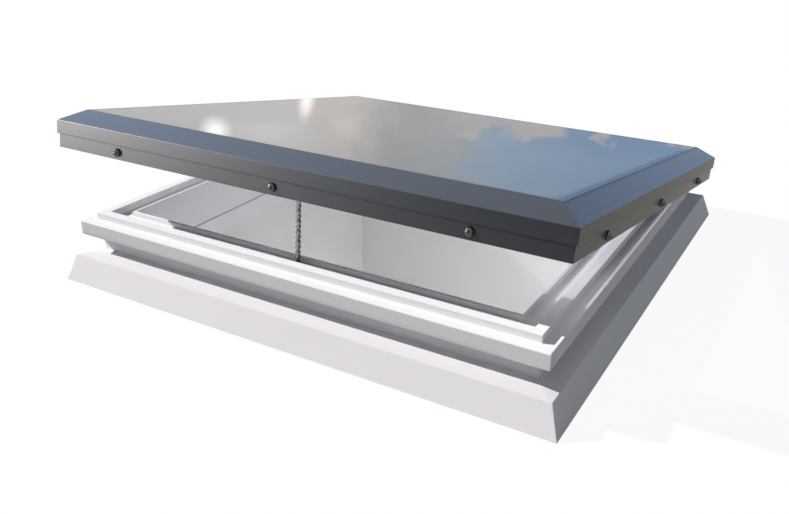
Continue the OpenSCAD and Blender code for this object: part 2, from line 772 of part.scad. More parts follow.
module location_blocks()
    color("black") open_lid() for (side = sides, x = [-block_x, block_x]) rotate([0, 0, side])
        span([x - block_l / 2, -upstand_half + upstand_t, flange_top],
             [x + block_l / 2, -glass_half, block_top]);

module weather_sealant()
    color("black") open_lid()
        ring(bevel_half, glass_half, lid_top - cap_return, cap_return - sealant_drop);

// Capping
module capping(side)
    color("darkslategray") open_lid() difference() {
        rail(side, rounded([[bevel_half, lid_top - cap_return, 0],
                            [bevel_half + cap_t, lid_top - cap_return, 0],
                            [bevel_half + cap_t, bevel_under(bevel_half + cap_t), 0],
                            [lid_half - cap_t, bevel_under(lid_half - cap_t), 0],
                            [lid_half - cap_t, step_z + cap_t, 0], [sash_half, step_z + cap_t, 0],
                            [sash_half, lid_bottom, 0], [cap_lower_half, lid_bottom, edge_r / 2],
                            [cap_lower_half, step_z, 0], [lid_half, step_z, edge_r],
                            [lid_half, bevel_z, edge_r], [bevel_half, lid_top, edge_r / 2]]));
        side_screw_holes(side);
    }

module cap_front() capping(front);
module cap_right() capping(right);
module cap_back() capping(back);
module cap_left() capping(left);

// Side screws under their dome caps, in a frame whose -Y points out of the face
module at_side_screws()
    open_lid() for (side = sides, x = screw_rows)
        rotate([0, 0, side]) translate([x, -cap_lower_half, screw_z]) children();

module side_screws()
    color("silver") at_side_screws() {
        rod_y([0, 0, 0], screw_d / 2, screw_l);
        rod_y([0, -screw_head_h, 0], screw_head_d / 2, screw_head_h);
    }

module screw_caps()
    color("black") at_side_screws() difference() {
        intersection() {
            translate([0, dome_ball_r - dome_h, 0]) sphere(r = dome_ball_r);
            rod_y([0, -dome_h - cut, 0], dome_d, dome_h + cut);
        }
        rod_y([0, -screw_head_h - screw_fit, 0], screw_head_d / 2 + screw_fit,
              screw_head_h + screw_fit + cut);
    }

kerb();
base_seal();
joint_gasket();
vent_frame();
actuator_cover();
cover_screws();
actuator_brackets();
actuator_bracket_screws();
actuator_housing();
actuator_end_caps();
drive_motor();
chain_guide();
chain_inner_links();
chain_outer_links();
chain_rollers();
chain_end();
chain_end_pin();
chain_bracket();
chain_bracket_screws();
hinge_frame_leaves();
hinge_lid_leaves();
hinge_pins();
hinge_frame_screws();
hinge_lid_screws();
sash_front();
sash_right();
sash_back();
sash_left();
corner_cleats();
lid_seal();
glazing_tape();
inner_pane();
spacer_bar();
edge_seal();
outer_pane();
location_blocks();
weather_sealant();
cap_front();
cap_right();
cap_back();
cap_left();
side_screws();
screw_caps();
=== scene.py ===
import math

import bmesh
import bpy
from mathutils import Matrix, Vector


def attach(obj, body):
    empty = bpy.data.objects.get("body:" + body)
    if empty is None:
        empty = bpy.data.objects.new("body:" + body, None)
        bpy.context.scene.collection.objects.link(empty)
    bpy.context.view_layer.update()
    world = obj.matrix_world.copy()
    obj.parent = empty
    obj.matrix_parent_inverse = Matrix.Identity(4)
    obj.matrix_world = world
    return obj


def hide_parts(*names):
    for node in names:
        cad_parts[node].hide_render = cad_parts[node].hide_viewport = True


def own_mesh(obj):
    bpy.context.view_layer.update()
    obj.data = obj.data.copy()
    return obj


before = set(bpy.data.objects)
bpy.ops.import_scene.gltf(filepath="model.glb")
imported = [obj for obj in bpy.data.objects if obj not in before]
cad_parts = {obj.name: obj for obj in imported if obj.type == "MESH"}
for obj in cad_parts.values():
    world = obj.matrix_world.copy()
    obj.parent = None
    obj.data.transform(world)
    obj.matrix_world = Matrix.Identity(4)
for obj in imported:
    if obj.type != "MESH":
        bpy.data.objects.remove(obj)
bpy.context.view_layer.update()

bl_info = {
    "name": "Opening rooflight",
    "version": (1, 0, 0),
    "blender": (4, 5, 0),
    "location": "View3D > Sidebar > Rooflight",
    "description": "Fine pieces, finishes and a plain studio for an opening rooflight",
    "category": "Object",
}

MM = 0.001
# Places that differ by less than this are one place
NEAR = 0.01 * MM
SIDE_TURNS = (0.0, 90.0, 180.0, 270.0)

# The lid turns about its hinge, and the actuator about its trunnions. Both stand open here.
HINGE = Vector((0.0, 0.4765, 0.098))
LID_OPEN = math.radians(10.2)
SWIVEL = Vector((0.0, -0.42075, 0.081))
SWIVEL_OPEN = math.radians(5.374)
OPENED = Matrix.Translation(HINGE) @ Matrix.Rotation(-LID_OPEN, 4, "X") @ Matrix.Translation(-HINGE)
CLOSED = OPENED.inverted()
SWIVELLED = Matrix.Translation(SWIVEL) @ Matrix.Rotation(-SWIVEL_OPEN, 4, "X")

# Levels of the closed lid, and places of its parts, as the solids have them
FLANGE_Z = 135.5 * MM
LIP_OUTER, LIP_INNER = 448.4 * MM, 430.0 * MM
LID_TOP = 162.0 * MM
GLASS_EDGE, BEVEL_EDGE = 453.0 * MM, 455.0 * MM
DOME_FACE, DOME_Z = 488.8 * MM, 103.8 * MM
DOME_ROWS = (-340.0 * MM, 0.0, 340.0 * MM)

# Chain and cover of the actuator, as the solids have them
CHAIN_REACH, CHAIN_LINKS = 204.345 * MM, 19
PLATE_GAP, PIN_TAIL, BUSH_WALL, ROLLER_PLAY = 0.1 * MM, 0.35 * MM, 0.6 * MM, 0.05 * MM
COVER_FACE = 398.0 * MM
COVER_SCREW_X, COVER_SCREW_Z = 245.0 * MM, 18.0 * MM

# Outside of the kerb and of the vent frame: half widths and levels, as the solids have them
FOOT_HALF = 500.0 * MM
LEDGE_HALF, LEDGE_Z, LEDGE_SLOPE = 482.6 * MM, 50.0 * MM, 0.17
FRAME_HALF, FRAME_LOW, FRAME_HIGH = 470.7 * MM, 92.6 * MM, 118.5 * MM

# Way that the key lamp's light goes, from the left, the front and above
KEY_WAY = Vector((1.35, 0.42, -1.0))
# How far scrims hang from their faces, as a share of that way
SCRIM_GAP = 0.125

# Camera: its place, its turn, tilt and roll in degrees, and its lens in millimetres
CAMERA_PLACE = (0.77744, -1.41595, 0.71310)
CAMERA_TURN, CAMERA_TILT, CAMERA_ROLL = 30.514, 90 - 24.755, 0.254
CAMERA_LENS, CAMERA_SENSOR = 37.62, 36.0


def linear(hex_colour):
    """Turn an sRGB hex colour into linear red, green, blue and alpha."""
    parts = [int(hex_colour[i:i + 2], 16) / 255 for i in (0, 2, 4)]
    return tuple(c / 12.92 if c <= 0.04045 else ((c + 0.055) / 1.055) ** 2.4 for c in parts) + (1.0,)


def colour_property(name, description, hex_colour):
    """Return a colour property whose default is an sRGB hex colour."""
    return bpy.props.FloatVectorProperty(
        name=name, description=description, subtype="COLOR", size=4, min=0.0, max=1.0,
        default=linear(hex_colour))


def length_property(name, description, millimetres):
    """Return a length property whose default is given in millimetres."""
    return bpy.props.FloatProperty(
        name=name, description=description, unit="LENGTH", min=0.0, precision=5,
        default=millimetres * MM)


class RooflightSizes(bpy.types.PropertyGroup):
    """Sizes of the pieces that are modelled here"""

    dome_d: length_property("Dome diameter", "Diameter of a screw's dome cap", 15.0)
    dome_h: length_property("Dome height", "Height of a screw's dome cap", 8.0)
    dome_rim: length_property("Dome rim", "Height of the straight rim under the dome", 0.8)
    dome_pocket: length_property("Dome pocket", "Diameter of the pocket for the screw's head", 9.4)
    dome_pocket_h: length_property("Pocket depth", "Depth of the pocket for the screw's head", 2.8)
    chain_pitch: length_property("Chain pitch", "Distance between two pins of the chain", 9.0)
    plate_w: length_property("Plate width", "Width of a chain plate at its ends", 6.4)
    plate_waist: length_property("Plate waist", "Width of a chain plate between its pins", 3.6)
    plate_t: length_property("Plate thickness", "Thickness of a chain plate", 1.0)
    roller_d: length_property("Roller diameter", "Diameter of a chain roller", 5.0)
    roller_w: length_property("Roller width", "Gap between the inner plates", 3.0)
    pin_d: length_property("Chain pin", "Diameter of a chain pin", 2.3)
    seal_w: length_property("Seal width", "Width of the bulb seal under the lid", 12.0)
    seal_h: length_property("Seal height", "Height of the bulb seal when nothing presses it", 6.5)
    seal_pressed: length_property("Pressed seal", "Height of the bulb seal under the closed lid", 3.6)
    bead_dip: length_property("Sealant dip", "Depth to which the joint round the glass is tooled", 0.6)
    recess_w: length_property("Cross recess", "Width of a blade of the cover screws' cross recess", 1.0)


class RooflightColours(bpy.types.PropertyGroup):
    """Colours of the finishes"""

    pvc: colour_property("White PVC", "Kerb, vent frame and actuator cover", "ECECEE")
    coat: colour_property("Capping", "Powder coat of the lid's capping", "202327")
    sash: colour_property("Sash", "Powder coat of the sash behind the capping", "4A4D50")
    glass: colour_property("Glass tint", "Tint of the glass in its thickness", "AEB6B8")
    rubber: colour_property("Rubber", "Seals, gaskets and glazing tape", "1B1C1E")
    sealant: colour_property("Sealant", "Joint round the glass", "2B2E33")
    spacer: colour_property("Spacer", "Spacer bar between the panes", "24262A")
    aluminium: colour_property("Aluminium", "Bare aluminium cleats and brackets", "B9BBBD")
    zinc: colour_property("Zinc", "Zinc-plated steel of hinges and brackets", "A9ADB2")
    chain: colour_property("Chain", "Inner plates of the chain", "606265")
    chain_outer: colour_property("Chain, outside", "Outer plates of the chain", "8A8D90")
    stainless: colour_property("Stainless", "Screws and pins", "C3C4C5")
    nylon: colour_property("Nylon", "Moulded ends and guide of the actuator", "3D4043")
    dome: colour_property("Dome caps", "Moulded caps over the side screws", "0B0C0D")


def add_node(tree, kind, inputs=None, **settings):
    """Add a node, give it its settings, then set or link each of its inputs."""
    made = tree.nodes.new(kind)
    for name, value in settings.items():
        setattr(made, name, value)
    for key, value in (inputs or {}).items():
        if isinstance(value, bpy.types.NodeSocket):
            tree.links.new(value, made.inputs[key])
        else:
            made.inputs[key].default_value = value
    return made


def new_finish(name):
    """Return a new material, its empty node tree and the object coordinates in it."""
    finish = bpy.data.materials.new(name)
    finish.use_nodes = True
    tree = finish.node_tree
    tree.nodes.clear()
    return finish, tree, add_node(tree, "ShaderNodeTexCoord").outputs["Object"]


def reckon(tree, operation, *values):
    """Return what one sum makes of some values or sockets."""
    return add_node(tree, "ShaderNodeMath", dict(enumerate(values)), operation=operation).outputs[0]


def spread(tree, value, low, high):
    """Return a value between 0 and 1 spread from a low to a high one."""
    return add_node(tree, "ShaderNodeMapRange", {"Value": value, "To Min": low, "To Max": high}).outputs[0]


def rise(tree, value, start, end):
    """Return 0 where a value is at its start, 1 at its end, and a share between."""
    return add_node(tree, "ShaderNodeMapRange", {
        "Value": value, "From Min": start, "From Max": end}).outputs[0]


def blend(tree, share, first, second):
    """Return a colour between two, by the share of the second."""
    return add_node(tree, "ShaderNodeMix", {0: share, 6: first, 7: second}, data_type="RGBA").outputs[2]


def shade(colour, share):
    """Return a colour made darker or lighter."""
    return [min(1.0, part * share) for part in colour[:3]] + [1.0]


def noise(tree, place, patch_mm, detail=2.0):
    """Return soft noise in patches of about a given width."""
    return add_node(tree, "ShaderNodeTexNoise", {
        "Vector": place, "Scale": 1 / (patch_mm * MM), "Detail": detail}).outputs[0]


def bumped(tree, height, strength, depth_mm):
    """Return the normal of a surface that is dented by a height."""
    return add_node(tree, "ShaderNodeBump", {
        "Height": height, "Strength": strength, "Distance": depth_mm * MM}).outputs[0]


def closed_lid(tree, place):
    """Carry object coordinates on the open lid back to the closed lid, where its rails are level."""
    turn = CLOSED.to_euler()
    return add_node(tree, "ShaderNodeMapping", {
        "Vector": place, "Location": CLOSED.translation, "Rotation": turn}).outputs[0]


def rail_place(tree, place):
    """Return the distance from the centre, the height, and how far the mitre is, on a square frame."""
    axes = add_node(tree, "ShaderNodeSeparateXYZ", {0: place})
    across = reckon(tree, "ABSOLUTE", axes.outputs[0])
    along = reckon(tree, "ABSOLUTE", axes.outputs[1])
    outward = reckon(tree, "MAXIMUM", across, along)
    apart = reckon(tree, "SUBTRACT", across, along)
    mitre = reckon(tree, "ABSOLUTE", apart)
    return outward, axes.outputs[2], mitre


def finish_output(tree, shader):
    """Send a shader to the material's output."""
    add_node(tree, "ShaderNodeOutputMaterial", {"Surface": shader.outputs[0]})


def white_pvc(colours):
    """Extruded white PVC, welded at the mitres: satin, with faint lines along each rail
    and a shallow cleaned groove where two rails are welded."""
    finish, tree, place = new_finish("Extruded PVC, welded and cleaned")
    outward, height, mitre = rail_place(tree, place)
    profile = add_node(tree, "ShaderNodeCombineXYZ", {0: outward, 2: height}).outputs[0]
    # Die lines are finer than this on real profiles; 3 mm is as fine as shows
    lines = noise(tree, profile, 3, 2.0)
    clouding = noise(tree, place, 120, 3.0)
    tone = blend(tree, clouding, colours.pvc, shade(colours.pvc, 0.965))
    weld = rise(tree, mitre, 0.6 * MM, 1.8 * MM)
    seam = blend(tree, weld, shade(colours.pvc, 0.93), tone)
    gloss = spread(tree, lines, 0.50, 0.60)
    relief = reckon(tree, "MULTIPLY_ADD", lines, 0.04, weld)
    bump = bumped(tree, relief, 0.25, 0.3)
    finish_output(tree, add_node(tree, "ShaderNodeBsdfPrincipled", {
        "Base Color": seam, "Roughness": gloss, "IOR": 1.53, "Specular IOR Level": 0.08, "Normal": bump}))
    return finish


def powder_coat(name, colour, roughness):
    """Polyester powder coat on aluminium: satin, with the soft dimples of a melted powder
    and faint lines along each rail, which the sheet under it keeps from its rolls."""
    finish, tree, place = new_finish(name)
    flat = closed_lid(tree, place)
    outward, height, mitre = rail_place(tree, flat)
    profile = add_node(tree, "ShaderNodeCombineXYZ", {0: outward, 2: height}).outputs[0]
    lines = noise(tree, profile, 5, 3.0)
    # The dimples of a real coat are about 1 mm across; they are drawn at 2.5 mm so that they show
    dimples = noise(tree, place, 2.5, 1.0)
    joint = rise(tree, mitre, 0.2 * MM, 0.7 * MM)
    tone = blend(tree, lines, colour, shade(colour, 1.18))
    seam = blend(tree, joint, shade(colour, 0.3), tone)
    gloss = spread(tree, lines, roughness - 0.05, roughness + 0.05)
    relief = reckon(tree, "MULTIPLY_ADD", dimples, 0.3, joint)
    bump = bumped(tree, relief, 0.15, 0.2)
    finish_output(tree, add_node(tree, "ShaderNodeBsdfPrincipled", {
        "Base Color": seam, "Roughness": gloss, "IOR": 1.5, "Normal": bump}))
    return finish


def float_glass(colours, name, roller_wave):
    """Toughened float glass: clear and mirror-smooth, with the long faint waves of the furnace rollers."""
    finish, tree, place = new_finish(name)
    flat = closed_lid(tree, place)
    # The texture turns by 20 radians to the unit, so a wave is two pi times this length, about 1.8 m
    wave_radian = 280 * MM
    waves = add_node(tree, "ShaderNodeTexWave", {
        "Vector": flat, "Scale": 1 / (20 * wave_radian), "Distortion": 1.5, "Detail": 1.0},
        bands_direction="Y").outputs[1]
    bump = bumped(tree, waves, roller_wave, 0.02)
    dust = noise(tree, flat, 60, 4.0)
    haze = add_node(tree, "ShaderNodeMapRange", {
        "Value": dust, "From Min": 0.4, "From Max": 0.9, "To Min": 0.0, "To Max": 0.004}).outputs[0]
    glass = add_node(tree, "ShaderNodeBsdfPrincipled", {
        "Base Color": colours.glass, "Roughness": haze, "IOR": 1.52, "Transmission Weight": 1.0,
        "Normal": bump})
    # Lamps reach the shaft below through the panes, which take more than half of their light
    path = add_node(tree, "ShaderNodeLightPath")
    lamp_side = add_node(tree, "ShaderNodeBsdfTransparent", {"Color": linear("E0E0E1")})
    finish_output(tree, add_node(tree, "ShaderNodeMixShader", {
        0: path.outputs["Is Shadow Ray"], 1: glass.outputs[0], 2: lamp_side.outputs[0]}))
    return finish


def rubber(name, colour, roughness):
    """Extruded rubber or tooled sealant: nearly black and dull, with a grey bloom in patches."""
    finish, tree, place = new_finish(name)
    bloom = noise(tree, place, 25, 4.0)
    tone = blend(tree, bloom, colour, shade(colour, 1.7))
    gloss = spread(tree, bloom, roughness - 0.1, roughness + 0.1)
    grit = noise(tree, place, 1.5)
    bump = bumped(tree, grit, 0.2, 0.1)
    finish_output(tree, add_node(tree, "ShaderNodeBsdfPrincipled", {
        "Base Color": tone, "Roughness": gloss, "IOR": 1.52, "Normal": bump}))
    return finish


def drawn_metal(name, colour, roughness, line_mm):
    """Drawn or rolled metal: grey and softly bright, with fine lines along its length."""
    finish, tree, place = new_finish(name)
    stretched = add_node(tree, "ShaderNodeMapping", {
        "Vector": place, "Scale": (0.04, 1.0, 1.0)}).outputs[0]
    lines = noise(tree, stretched, line_mm, 3.0)
    tone = blend(tree, lines, colour, shade(colour, 0.8))
    gloss = spread(tree, lines, roughness - 0.08, roughness + 0.08)
    bump = bumped(tree, lines, 0.15, 0.1)
    finish_output(tree, add_node(tree, "ShaderNodeBsdfPrincipled", {
        "Base Color": tone, "Metallic": 1.0, "Roughness": gloss, "Normal": bump}))
    return finish


def plated_steel(name, colour, roughness, patch_mm):
    """Plated steel: bright grey, mottled where the plating took differently."""
    finish, tree, place = new_finish(name)
    patches = add_node(tree, "ShaderNodeTexVoronoi", {
        "Vector": place, "Scale": 1 / (patch_mm * MM)}).outputs["Color"]
    mottle = add_node(tree, "ShaderNodeSeparateColor", {0: patches}).outputs[0]
    tone = blend(tree, mottle, colour, shade(colour, 0.72))
    gloss = spread(tree, mottle, roughness - 0.06, roughness + 0.08)
    grain = noise(tree, place, 0.8)
    bump = bumped(tree, grain, 0.1, 0.05)
    finish_output(tree, add_node(tree, "ShaderNodeBsdfPrincipled", {
        "Base Color": tone, "Metallic": 1.0, "Roughness": gloss, "Normal": bump}))
    return finish


def moulding(name, colour, roughness, grain_mm, shine=0.5):
    """Injection-moulded plastic: even colour, with the fine grain of the tool."""
    finish, tree, place = new_finish(name)
    grain = noise(tree, place, grain_mm, 2.0)
    tone = blend(tree, grain, colour, shade(colour, 1.25))
    gloss = spread(tree, grain, max(0.02, roughness - 0.05), roughness + 0.05)
    bump = bumped(tree, grain, 0.1, 0.05)
    finish_output(tree, add_node(tree, "ShaderNodeBsdfPrincipled", {
        "Base Color": tone, "Roughness": gloss, "IOR": 1.5, "Specular IOR Level": shine, "Normal": bump}))
    return finish


# Finish of each node, by the finish's short name
NODE_FINISH = {
    "kerb": "pvc", "vent_frame": "pvc", "actuator_cover": "pvc",
    "base_seal": "epdm", "joint_gasket": "epdm", "lid_seal": "epdm", "glazing_tape": "epdm",
    "location_blocks": "epdm", "edge_seal": "sealant", "weather_sealant": "sealant",
    "spacer_bar": "spacer", "outer_pane": "outer_glass", "inner_pane": "inner_glass",
    "cap_front": "coat", "cap_right": "coat", "cap_back": "coat", "cap_left": "coat",
    "sash_front": "sash", "sash_right": "sash", "sash_back": "sash", "sash_left": "sash",
    "corner_cleats": "aluminium", "actuator_housing": "aluminium",
    "actuator_brackets": "zinc", "chain_bracket": "zinc", "hinge_frame_leaves": "zinc",
    "hinge_lid_leaves": "zinc", "drive_motor": "zinc",
    "chain_inner_links": "chain", "chain_outer_links": "chain_outer", "chain_rollers": "stainless",
    "chain_end": "chain", "chain_end_pin": "stainless", "hinge_pins": "stainless",
    "cover_screws": "stainless", "actuator_bracket_screws": "stainless",
    "chain_bracket_screws": "stainless", "hinge_frame_screws": "stainless",
    "hinge_lid_screws": "stainless", "side_screws": "stainless",
    "actuator_end_caps": "nylon", "chain_guide": "nylon", "screw_caps": "dome",
}


def make_finishes(colours):
    """Make every finish once and return them by their short names."""
    return {
        "pvc": white_pvc(colours),
        "coat": powder_coat("Powder-coated aluminium sheet, satin", colours.coat, 0.32),
        "sash": powder_coat("Powder-coated aluminium extrusion, matt", colours.sash, 0.5),
        "outer_glass": float_glass(colours, "Toughened float glass, outer pane", 0.2),
        "inner_glass": float_glass(colours, "Toughened float glass, inner pane", 0.1),
        "epdm": rubber("Extruded EPDM rubber", colours.rubber, 0.75),
        "sealant": rubber("Tooled silicone sealant", colours.sealant, 0.5),
        "spacer": moulding("Extruded black spacer bar", colours.spacer, 0.5, 4.0),
        "aluminium": drawn_metal("Extruded aluminium, mill finish", colours.aluminium, 0.35, 1.5),
        "zinc": plated_steel("Pressed steel, zinc-plated", colours.zinc, 0.36, 5.0),
        "chain": plated_steel("Stamped chain steel, oiled", colours.chain, 0.32, 3.0),
        "chain_outer": plated_steel("Stamped chain steel, zinc-plated", colours.chain_outer, 0.36, 3.0),
        "stainless": drawn_metal("Turned stainless steel", colours.stainless, 0.24, 0.6),
        "nylon": moulding("Moulded glass-filled nylon", colours.nylon, 0.55, 1.5),
        "dome": moulding("Moulded gloss ABS", colours.dome, 0.1, 6.0, 0.9),
    }


def add_primitive(name, add, **place):
    """Deselect everything, add a primitive and return it under its own name."""
    if bpy.context.object and bpy.context.object.mode != "OBJECT":
        bpy.ops.object.mode_set(mode="OBJECT")
    bpy.ops.object.select_all(action="DESELECT")
    add(**place)
    piece = bpy.context.object
    piece.name = name
    piece.data.name = name
    return piece


def pick(kind, passes):
    """In edit mode, select the faces, edges or points that pass a test of place and normal."""
    bpy.ops.mesh.select_mode(type=kind)
    bpy.ops.mesh.select_all(action="DESELECT")
    mesh = bmesh.from_edit_mesh(bpy.context.object.data)
    mesh.normal_update()
    if kind == "FACE":
        for face in mesh.faces:
            face.select_set(passes(face.calc_center_median(), face.normal))
    elif kind == "EDGE":
        for edge in mesh.edges:
            edge.select_set(all(passes(point.co, point.normal) for point in edge.verts))
    else:
        for point in mesh.verts:
            point.select_set(passes(point.co, point.normal))
    bmesh.update_edit_mesh(bpy.context.object.data)


def keep_long_edges(shortest):
    """In edit mode, deselect the edges that are shorter than a length."""
    mesh = bmesh.from_edit_mesh(bpy.context.object.data)
    for edge in mesh.edges:
        if edge.calc_length() < shortest:
            edge.select_set(False)
    bmesh.update_edit_mesh(bpy.context.object.data)


def close_edit():
    """Merge doubles, point the faces outwards and leave edit mode."""
    bpy.ops.mesh.select_all(action="SELECT")
    bpy.ops.mesh.remove_doubles(threshold=0.005 * MM)
    bpy.ops.mesh.normals_make_consistent(inside=False)
    bpy.ops.object.mode_set(mode="OBJECT")


def join(name, pieces):
    """Join pieces into one object with its place in its mesh, and return it."""
    bpy.ops.object.select_all(action="DESELECT")
    for piece in pieces:
        piece.select_set(True)
    bpy.context.view_layer.objects.active = pieces[0]
    bpy.ops.object.transform_apply(location=True, rotation=True, scale=True)
    if len(pieces) > 1:
        bpy.ops.object.join()
    piece = bpy.context.object
    piece.name = name
    piece.data.name = name
    bpy.ops.object.shade_smooth_by_angle(angle=math.radians(35))
    return piece


def copies(pattern, places):
    """Copy a modelled piece to each place, every copy with its own mesh, and drop the pattern."""
    made = []
    for place in places:
        copy = pattern.copy()
        copy.data = pattern.data.copy()
        bpy.context.scene.collection.objects.link(copy)
        copy.matrix_world = place @ pattern.matrix_world
        made.append(copy)
    bpy.data.objects.remove(pattern)
    bpy.context.view_layer.update()
    return made


def dress(piece, body, finish, slot, *nodes):
    """Give a piece its finish, the body that carries it and the nodes that it stands for."""
    piece.data.materials.clear()
    piece.data.materials.append(finish)
    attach(piece, body)
    if nodes:
        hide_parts(*nodes)


def square_ring(name, outer, inner, low, high):
    """Model a flat square ring: a plane, inset to its opening and raised to its height."""
    ring = add_primitive(name, bpy.ops.mesh.primitive_plane_add, size=2 * outer, location=(0, 0, low))
    bpy.ops.object.transform_apply(location=True)
    bpy.ops.object.mode_set(mode="EDIT")
    bpy.ops.mesh.select_all(action="SELECT")
    bpy.ops.mesh.inset(thickness=outer - inner)
    pick("FACE", lambda place, normal: abs(place.x) < inner / 2 and abs(place.y) < inner / 2)
    bpy.ops.mesh.delete(type="FACE")
    bpy.ops.mesh.select_all(action="SELECT")
    bpy.ops.mesh.extrude_region_move(TRANSFORM_OT_translate={"value": (0, 0, high - low)})
    bpy.ops.mesh.select_all(action="SELECT")
    bpy.ops.mesh.normals_make_consistent(inside=False)
    return ring


FINISHES = {}


class OBJECT_OT_rooflight_finishes(bpy.types.Operator):
    """Make the finishes and give each solid its own"""

    bl_idname = "object.rooflight_finishes"
    bl_label = "Finishes"

    def execute(self, context):
        FINISHES.update(make_finishes(context.scene.rooflight_colours))
        for name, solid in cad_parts.items():
            solid.data.materials.clear()
            solid.data.materials.append(FINISHES[NODE_FINISH[name]])
        return {"FINISHED"}


def link_plate(name, sizes, y):
    """Model a waisted chain plate between the pins at the origin and one pitch below it."""
    plate = add_primitive(
        name, bpy.ops.mesh.primitive_circle_add, vertices=24, radius=sizes.plate_w / 2,
        fill_type="NGON", rotation=(math.radians(90), 0, 0))
    bpy.ops.object.transform_apply(rotation=True)
    bpy.ops.object.mode_set(mode="EDIT")
    pick("VERT", lambda place, normal: place.z < -NEAR)
    bpy.ops.transform.translate(value=(0, 0, -sizes.chain_pitch))
    pick("EDGE", lambda place, normal: True)
    keep_long_edges(sizes.chain_pitch / 2)
    bpy.ops.mesh.subdivide(number_cuts=5)
    middle = -sizes.chain_pitch / 2
    pick("VERT", lambda place, normal: abs(place.z - middle) < sizes.chain_pitch * 0.2)
    bpy.ops.transform.resize(
        value=(sizes.plate_waist / sizes.plate_w, 1, 1), center_override=(0, 0, middle))
    bpy.ops.mesh.select_all(action="SELECT")
    bpy.ops.mesh.extrude_region_move(TRANSFORM_OT_translate={"value": (0, sizes.plate_t, 0)})
    pick("EDGE", lambda place, normal: place.y > sizes.plate_t / 2)
    bpy.ops.mesh.bevel(offset=0.2 * MM, segments=2)
    bpy.ops.mesh.select_all(action="SELECT")
    bpy.ops.transform.translate(value=(0, y, 0))
    close_edit()
    return plate


def barrel(name, radius, half, rim):
    """Model a round barrel along Y whose ends are inset and drawn to a rounded rim."""
    piece = add_primitive(
        name, bpy.ops.mesh.primitive_cylinder_add, vertices=20, radius=radius, depth=2 * half,
        rotation=(math.radians(90), 0, 0))
    bpy.ops.object.transform_apply(rotation=True)
    bpy.ops.object.mode_set(mode="EDIT")
    pick("EDGE", lambda place, normal: abs(place.y) > half * 0.99)
    bpy.ops.mesh.bevel(offset=rim, segments=2)
    pick("FACE", lambda place, normal: abs(normal.y) > 0.99)
    bpy.ops.mesh.inset(thickness=radius * 0.3, depth=rim * 0.5)
    close_edit()
    return piece


class OBJECT_OT_rooflight_chain(bpy.types.Operator):
    """Model one inner link, one outer link and one roller, and hang them up the chain"""

    bl_idname = "object.rooflight_chain"
    bl_label = "Chain"

    def execute(self, context):
        sizes = context.scene.rooflight_sizes
        inner = sizes.roller_w / 2
        outer = inner + sizes.plate_t + PLATE_GAP
        pin_half = outer + sizes.plate_t + PIN_TAIL
        pitch = sizes.chain_pitch
        pins = (Matrix(), Matrix.Translation((0, 0, -pitch)))
        # A link hangs at each pin but the last, counted down from the end pin, and a roller at every one
        hung = [SWIVELLED @ Matrix.Translation((0, 0, CHAIN_REACH - pitch * (i + 1)))
                for i in range(CHAIN_LINKS + 1)]

        bushes = copies(barrel("bush", sizes.pin_d / 2 + BUSH_WALL, inner, 0.1 * MM), pins)
        inner_link = join("inner_link", bushes + [
            link_plate("near_plate", sizes, inner), link_plate("far_plate", sizes, -inner - sizes.plate_t)])
        rivets = copies(barrel("rivet", sizes.pin_d / 2, pin_half, 0.25 * MM), pins)
        outer_link = join("outer_link", rivets + [
            link_plate("near_plate", sizes, outer), link_plate("far_plate", sizes, -outer - sizes.plate_t)])
        roller = barrel("roller", sizes.roller_d / 2, inner - ROLLER_PLAY, 0.3 * MM)
        rows = (
            (inner_link, "chain_inner_plates", hung[0:CHAIN_LINKS:2], "chain", "chain_steel",
             "chain_inner_links"),
            (outer_link, "chain_outer_plates", hung[1:CHAIN_LINKS:2], "chain_outer", "zinc_steel",
             "chain_outer_links"),
            (roller, "chain_roller_row", hung, "stainless", "stainless", "chain_rollers"),
        )
        # The real chain folds into its housing as the lid comes down; this one is made only as it hangs with
        # the lid open
        for pattern, name, places, finish, slot, node in rows:
            row = join(name, copies(pattern, places))
            dress(row, "actuator", FINISHES[finish], slot, node)
            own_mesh(row)
        return {"FINISHED"}


